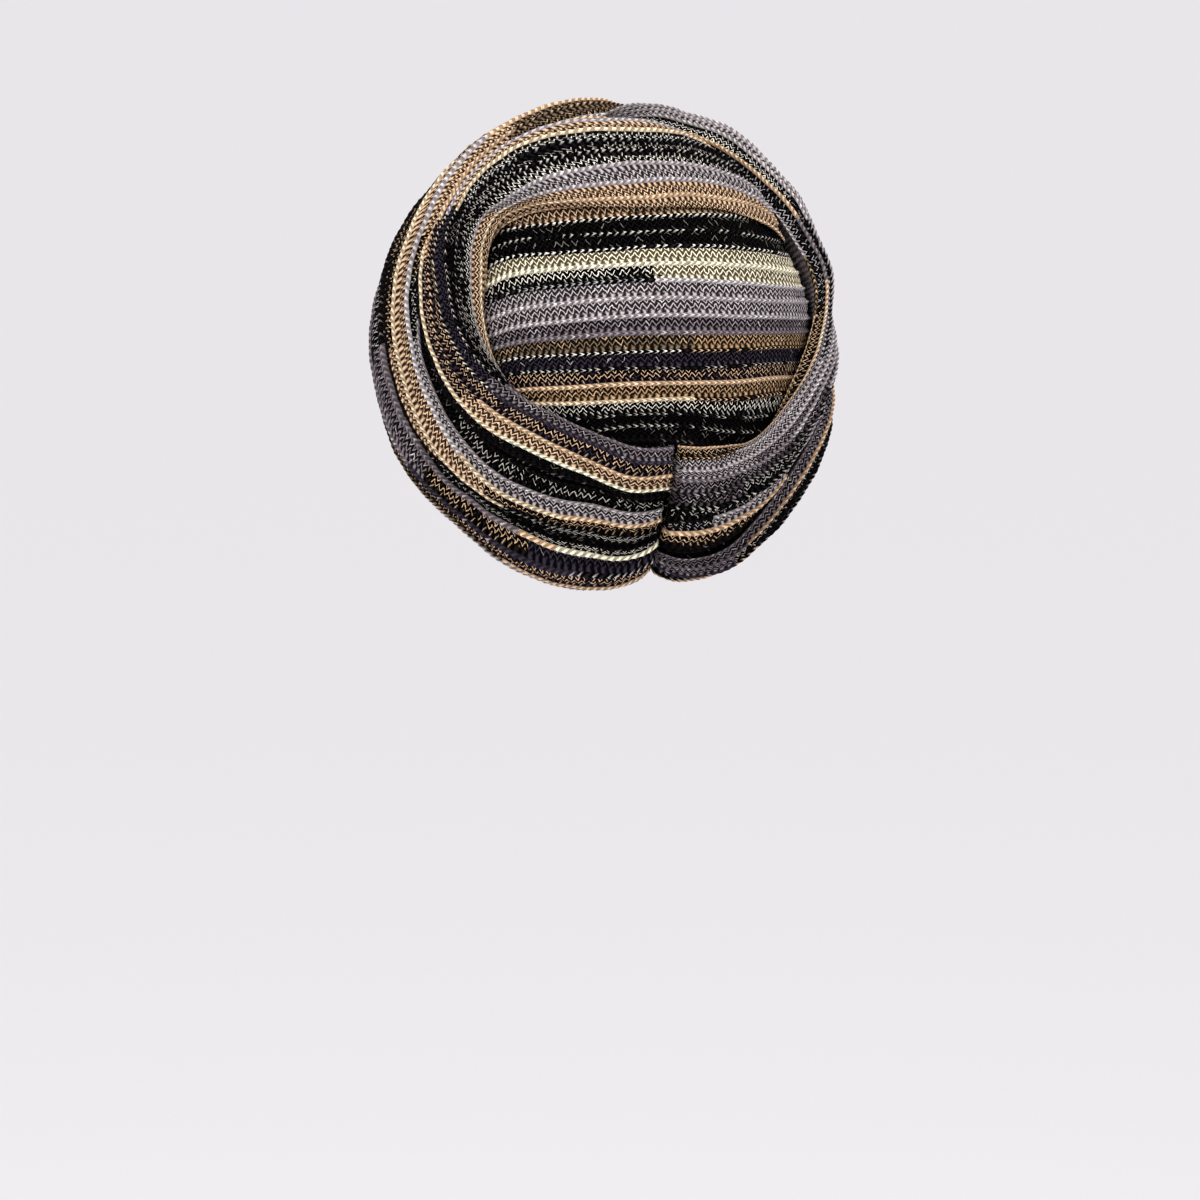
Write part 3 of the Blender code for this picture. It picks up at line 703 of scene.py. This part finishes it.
rightBack = {
    "material": "chunkyKnitRightInner", "slot": "right_back_knit", "fill": 0.5, "rows": 16,
    "cords": {
        0.00: (0.02, 0.11, 0.21, 0.28, 0.40, 0.53, 0.67, 0.77, 0.97),
        0.05: (0.02, 0.10, 0.18, 0.24, 0.32, 0.42, 0.55, 0.64, 0.80),
        0.10: (0.03, 0.07, 0.14, 0.21, 0.30, 0.41, 0.54, 0.64, 0.78),
        0.15: (0.00, 0.05, 0.13, 0.22, 0.32, 0.43, 0.58, 0.68, 0.80),
        0.20: (0.00, 0.06, 0.17, 0.27, 0.39, 0.50, 0.62, 0.73, 0.84),
        0.25: (0.04, 0.11, 0.21, 0.34, 0.46, 0.57, 0.68, 0.79, 0.90),
        0.30: (0.09, 0.17, 0.24, 0.37, 0.49, 0.60, 0.71, 0.82, 0.93),
        0.35: (0.10, 0.20, 0.30, 0.42, 0.54, 0.66, 0.78, 0.90, gap),
        0.40: (0.09, 0.17, 0.28, 0.40, 0.52, 0.64, 0.76, 0.88, gap),
        0.50: (0.11, 0.20, 0.30, 0.40, 0.50, 0.60, 0.70, 0.80, 0.90),
        0.60: (0.06, gap, gap, gap, gap, gap, gap, gap, gap),
        0.80: (0.06, gap, gap, gap, gap, gap, gap, gap, gap),
        0.90: (0.10, gap, gap, gap, gap, gap, gap, gap, gap),
        1.00: (0.20, gap, gap, gap, gap, gap, gap, gap, gap)},
    "chart": [
        # the inner row's cord is brown from .44 to .56: painted shade on the fold's inner wall
        "tan .44 brown .56 lavender", "tanOnBlack .46 greyOnBlack",
        "tan .36 sand .46 tan .51 mauve .63 tan", "tanOnBlack .12 lavender .52 flecked .66 whiteOnBlack",
        "tanOnBlack .09 lavender .34 greyOnBlack .62 lavender", "lavender .50 mauve .62 lavender",
        "lavender", "lavender .12 mauve .30 lavender",
        "mauve .20 lavender", "mauve .04 mauveOnBlack .30 mauve .50 lavender",
        "mauveOnBlack .30 lavender", "mauveOnBlack .09 flecked .34 mauve .60 lavender",
        "flecked .40 lavender", "flecked .22 black .40 lavender",
        "black .05 lavender .30 greyOnBlack .40 lavender",
        "greyOnBlack .05 lavender .20 flecked .40 lavender",
        "tan .17 black .40 mauve", "tanOnBlack .13 whiteOnBlack .18 black .45 lavender",
        "black .50 mauve", "black .50 mauve",
        "black .45 tan", "mauve", "lavender", "lavender", "black", "flecked",
        # the spare strips round the underside take the first mauve here, darker than the lavender beside
        # it: painted shade on the fold's underside and inner wall
        "tan", "lavender", "purple", "purple", "mauve", "mauve"],
}
rightFront = {
    "material": "chunkyKnitRightOuter", "slot": "right_front_knit", "fill": 0.5, "rows": 11,
    "cords": {
        0.00: (0.09, 0.30, 0.48, 0.70, 0.90),
        0.05: (0.10, 0.26, 0.40, gap, gap),
        0.10: (0.11, 0.23, 0.37, gap, gap),
        0.15: (0.09, 0.20, 0.32, gap, gap),
        0.50: (0.10, 0.22, gap, gap, gap),
        1.00: (0.10, 0.30, gap, gap, gap)},
    "chart": [
        "black", "black",
        "mauve", "mauve",
        "mauve .12 tan", "mauve .10 flecked",
        "purple .10 tanOnPurple .14 black", "purple .13 flecked",
        "flecked", "black",
        "tan", "tan", "mauve", "lavender", "black", "flecked", "lavender", "mauve", "black", "black",
        "tan", "black"],
}
crownRows = {
    "material": "chunkyKnitCrown", "slot": "crown_knit",
    "widest": 66, "pitch": 4.55, "rows": 18, "patchTop": 0.0030, "patchUnder": 0.0016,
    "lengthShare": 1.08,     # the rows are this much longer than an arc of the mean half size
    "lowest": -75, "highest": 60, "lastRow": 0.3, "evenOut": 0.03, "steps": 150, "stepsUnder": 15,
    # at each place to the wearer's left, degrees: how high each cord lies, from the second down
    "cords": {
        -60: (gap, gap, 48.8, 36.0, 25.5, 17.5, 12.0, 6.2, 1.3, gap, gap, gap, gap, gap, gap, gap),
        -45: (53.3, 40.0, 26.0, 21.9, 15.3, 10.2, 6.4, 1.0, -2.8, gap, gap, gap, gap, gap, gap, gap),
        -30: (37.6, 29.2, 22.3, 17.7, 12.5, 7.3, 3.0, -1.3, -5.5, -9.2, -13.5, -17.4, -21.6, -28.0,
              gap, gap),
        -15: (33.0, 26.8, 21.5, 16.5, 11.5, 6.5, 2.0, -2.5, -6.5, -11.0, -15.0, -19.0, -23.5, -28.4,
              -32.0, gap),
        0: (31.5, 25.5, 20.5, 16.5, 11.5, 7.0, 2.3, -2.0, -6.5, -11.0, -15.5, -19.0, -22.8, -26.7,
            -29.5, -33.5),
        15: (33.3, 27.0, 22.2, 17.2, 12.7, 8.2, 3.5, -1.3, -5.5, -10.5, -14.5, -18.5, -23.0, -26.5,
             -29.3, -33.0),
        30: (39.8, 31.7, 27.0, 21.0, 16.0, 10.5, 5.3, 0.0, -4.5, -9.5, -14.0, -18.5, -23.0, -27.5,
             gap, gap),
        45: (gap, 39.9, 34.0, 28.0, 21.0, 14.5, 8.3, 2.5, -2.4, -7.4, -12.0, -17.5, gap, gap, gap, gap)},
    "chart": [
        "lavender", "lavender",
        "tan", "tan",
        "whiteOnBlack", "black",
        "flecked", "black",
        "whiteOnBlack", "cream",
        "cream", "whiteOnBlack .46 cream",
        "greyOnBlack .46 paleLavender", "lavender",
        "lavender", "lavender",
        "lavender", "mauve",
        "mauve", "brown .52 darkTan",
        "whiteOnBlack .5 tanOnBlack", "purple",
        "flecked", "tanOnPurple",
        "tan", "darkTan",
        "sand .52 tanOnBlack", "whiteOnBlack",
        "flecked", "black",
        "flecked", "black", "black", "black"],
}


def crownPatch(settings):
    # the part of the cap that shows in the opening, knitted in its own rows
    widest, pitch, rowCount = settings["widest"], settings["pitch"], settings["rows"]
    length = math.radians(widest * 2) * (head["halfWidth"] + head["halfLength"]) / 2
    count = int(length * settings["lengthShare"] / knit["station"]) + 1
    alongs = np.linspace(0, 1, count)
    across = widest - alongs * widest * 2
    stops = np.array(list(settings["cords"]), float)
    table = []
    for known in settings["cords"].values():
        turned = [None] + [None if v is None else -v for v in known] + [None]
        table.append(fillRow(turned, pitch, settings["lowest"], settings["highest"]))
    table = -np.array(table)
    table = np.stack([smoothAlong(np.interp(across, stops, table[:, k]), count * settings["evenOut"])
                      for k in range(rowCount)], 1)
    top, under = settings["steps"], settings["stepsUnder"]
    share = np.linspace(0, 1, top + 1)
    high, low = table[:, :1], table[:, -1:] - pitch * settings["lastRow"]
    down = np.concatenate([share, share[::-1][under:-1:under]])
    up = high + (low - high) * down[None, :]
    sideways = across[:, None] + 0 * up
    polar = np.hypot(sideways, up)
    clock = np.degrees(np.arctan2(sideways, -up)) % 360
    height = np.where(np.arange(len(down)) <= top, settings["patchTop"], settings["patchUnder"])
    sections = onHead(direction(clock, polar), height[None, :] + 0 * up)
    arc = np.cumsum(np.linalg.norm(np.diff(sections[:, :top + 1], axis=1), axis=2), axis=1)
    arc = np.concatenate([np.zeros((count, 1)), arc], 1)
    cords = np.stack([np.interp(-table[i], -up[i, :top + 1], arc[i]) for i in range(count)])
    return sections, top, down[None, :], cords


cap = {
    "inner": 0.0002, "outer": 0.0009, "rimOuter": 0.0029,   # metres off the inside of the wall
    "tuck": 3.3, "rimBulge": 0.5,                           # degrees inside the hem, and past it
    "rimPart": 8,                                           # the wall thickens over an eighth
    "clocks": 240, "steps": 90, "firstRow": 38,
}


def capShell(settings, mat):
    # the rest of the cap under the folds, with its wall, open at the rim for the head
    hem = lines["hem_left"] + lines["hem_right"][::-1][1:]
    hemClock = np.array([c for c, _ in hem], float)
    hemPolar = np.array([p for _, p in hem], float)
    clock = np.linspace(0, 360, cap["clocks"] + 1)
    rim = np.interp(clock, hemClock, hemPolar, period=360) - cap["tuck"]
    out = np.linspace(0, 1, cap["steps"] + 1)
    share = np.concatenate([out, [1.0], out[::-1]])
    thicker = np.clip(out * cap["rimPart"] - (cap["rimPart"] - 1), 0, 1)
    outer = cap["outer"] + (cap["rimOuter"] - cap["outer"]) * thicker
    middle = (cap["inner"] + cap["rimOuter"]) / 2
    height = np.concatenate([outer, [middle], np.full(len(out), cap["inner"])])
    polar = rim[:, None] * share[None, :]
    polar[:, len(out)] += cap["rimBulge"]
    turned = clock[:, None] + 0 * polar
    points = onHead(direction(turned, polar), height[None, :] + 0 * polar)
    points[-1] = points[0]
    mesh = gridMesh("crown_inside", points.shape[1] - 1, len(points) - 1, points)
    # its rows run on from the ones that show
    flat = np.stack([polar * np.sin(np.radians(turned)), polar * np.cos(np.radians(turned))], -1)
    row = ((flat[..., 1] + cap["firstRow"]) / settings["pitch"]).ravel()
    metres = math.radians(1) * (head["halfWidth"] + head["halfLength"]) / 2
    writeMap(mesh, (flat[..., 0] * metres / knit["stitch"]).ravel(), row)
    at = row[cornersOf(mesh)].reshape(-1, 4).mean(1)
    rank = np.floor(at).astype(int)
    onCord = at - rank < knit["parts"][3]
    line = np.mod(rank * 2 + ~onCord, len(settings["chart"]))
    plain = np.array([list(yarns).index(words.split()[0]) for words in settings["chart"]])
    writeYarns(mesh, plain[line], onCord)
    closeMesh(mesh)
    mesh.materials.append(mat)
    shell = bpy.data.objects.new("crown_inside", mesh)
    bpy.context.scene.collection.objects.link(shell)
    return shell


view = {"azimuth": 160.0, "elevation": 5.0, "distance": 2.5, "metresPerPixel": 0.4625e-3,
        "right": 5, "above": 234, "picture": 1200, "film": 36, "seesTo": 200}


def placeCamera():
    # the turban's middle lies a little right of the picture's middle, and well above it
    focal = view["distance"] / view["metresPerPixel"]
    a, e = math.radians(view["azimuth"]), math.radians(view["elevation"])
    centre = Vector((0, 0, -head["height"]))
    back = Vector((math.sin(a) * math.cos(e), -math.cos(a) * math.cos(e), math.sin(e)))
    down = e + math.atan(view["above"] / focal)
    ahead = -Vector((math.sin(a) * math.cos(down), -math.cos(a) * math.cos(down), math.sin(down)))
    right = ahead.cross(Vector((0, 0, 1))).normalized()
    turn = math.atan(view["right"] / focal)
    ahead = (ahead * math.cos(turn) - right * math.sin(turn)).normalized()
    right = ahead.cross(Vector((0, 0, 1))).normalized()
    up = right.cross(ahead)
    camera = bpy.data.cameras.new("photoCamera")
    camera.sensor_width = view["film"]
    camera.lens = focal / view["picture"] * camera.sensor_width
    camera.clip_end = view["seesTo"]
    shot = bpy.data.objects.new("photoCamera", camera)
    bpy.context.scene.collection.objects.link(shot)
    turned = Matrix((right, up, -ahead)).transposed().to_4x4()
    shot.matrix_world = Matrix.Translation(centre + back * view["distance"]) @ turned
    bpy.context.scene.camera = shot


def softLight(name, place, size, power, warmth):
    lamp = bpy.data.lights.new(name, "AREA")
    lamp.shape = "RECTANGLE"
    lamp.size, lamp.size_y = size
    lamp.energy = power
    lamp.color = toLinear(warmth)
    obj = bpy.data.objects.new(name, lamp)
    bpy.context.scene.collection.objects.link(obj)
    obj.location = place
    target = Vector((0, 0, -head["height"]))
    obj.rotation_euler = (target - Vector(place)).to_track_quat("-Z", "Y").to_euler()


studio = {
    "floor": -1.0, "size": 90, "paper": "#fcfbfc", "world": "#f5f3f6", "worldStrength": 0.915,
    # place, size, watts and colour
    "lamps": {
        "softLeft": ((1.1, 1.0, 0.55), (0.9, 0.9), 9.0, "#ffffff"),
        "softRight": ((-1.0, 1.3, 0.3), (0.8, 0.8), 3.4, "#fbfbff"),
        "softAbove": ((0.0, 0.5, 1.1), (1.0, 1.0), 7.4, "#ffffff")},
}


def buildStudio():
    bm = bmesh.new()
    bmesh.ops.create_grid(bm, x_segments=8, y_segments=8, size=studio["size"])
    bmesh.ops.translate(bm, verts=bm.verts, vec=(0, 0, studio["floor"]))
    mesh = bpy.data.meshes.new("studioFloor")
    bm.to_mesh(mesh)
    bm.free()
    mat = bpy.data.materials.new("mattPaper")
    mat.use_nodes = True
    shader = mat.node_tree.nodes["Principled BSDF"]
    shader.inputs["Base Color"].default_value = toLinear(studio["paper"]) + [1]
    shader.inputs["Roughness"].default_value = 0.9
    shader.inputs["Specular IOR Level"].default_value = 0.1
    mesh.materials.append(mat)
    floor = bpy.data.objects.new("studioFloor", mesh)
    bpy.context.scene.collection.objects.link(floor)
    world = bpy.data.worlds.new("studioAir")
    world.use_nodes = True
    back = world.node_tree.nodes["Background"]
    back.inputs["Color"].default_value = toLinear(studio["world"]) + [1]
    back.inputs["Strength"].default_value = studio["worldStrength"]
    bpy.context.scene.world = world
    for name, lamp in studio["lamps"].items():
        softLight(name, *lamp)
    bpy.context.scene.view_settings.view_transform = "Standard"


placeCamera()
buildStudio()
print("camera, floor and lights placed")

foldPiece("left_back_fold", leftBack)
foldPiece("left_front_fold", leftFront)
foldPiece("right_back_fold", rightBack)
foldPiece("right_front_fold", rightFront)

sections, top, across, cords = crownPatch(crownRows)
crownKnit = chunkyKnitCloth(crownRows["material"])
patch = knitPiece("crown_cloth", sections, top, across, cords, crownRows["chart"], crownKnit,
                  spare=8)
shell = capShell(crownRows, crownKnit)
with bpy.context.temp_override(active_object=patch, selected_editable_objects=[patch, shell]):
    bpy.ops.object.join()
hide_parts("crown")
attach(patch, "root")
print("crown dressed")
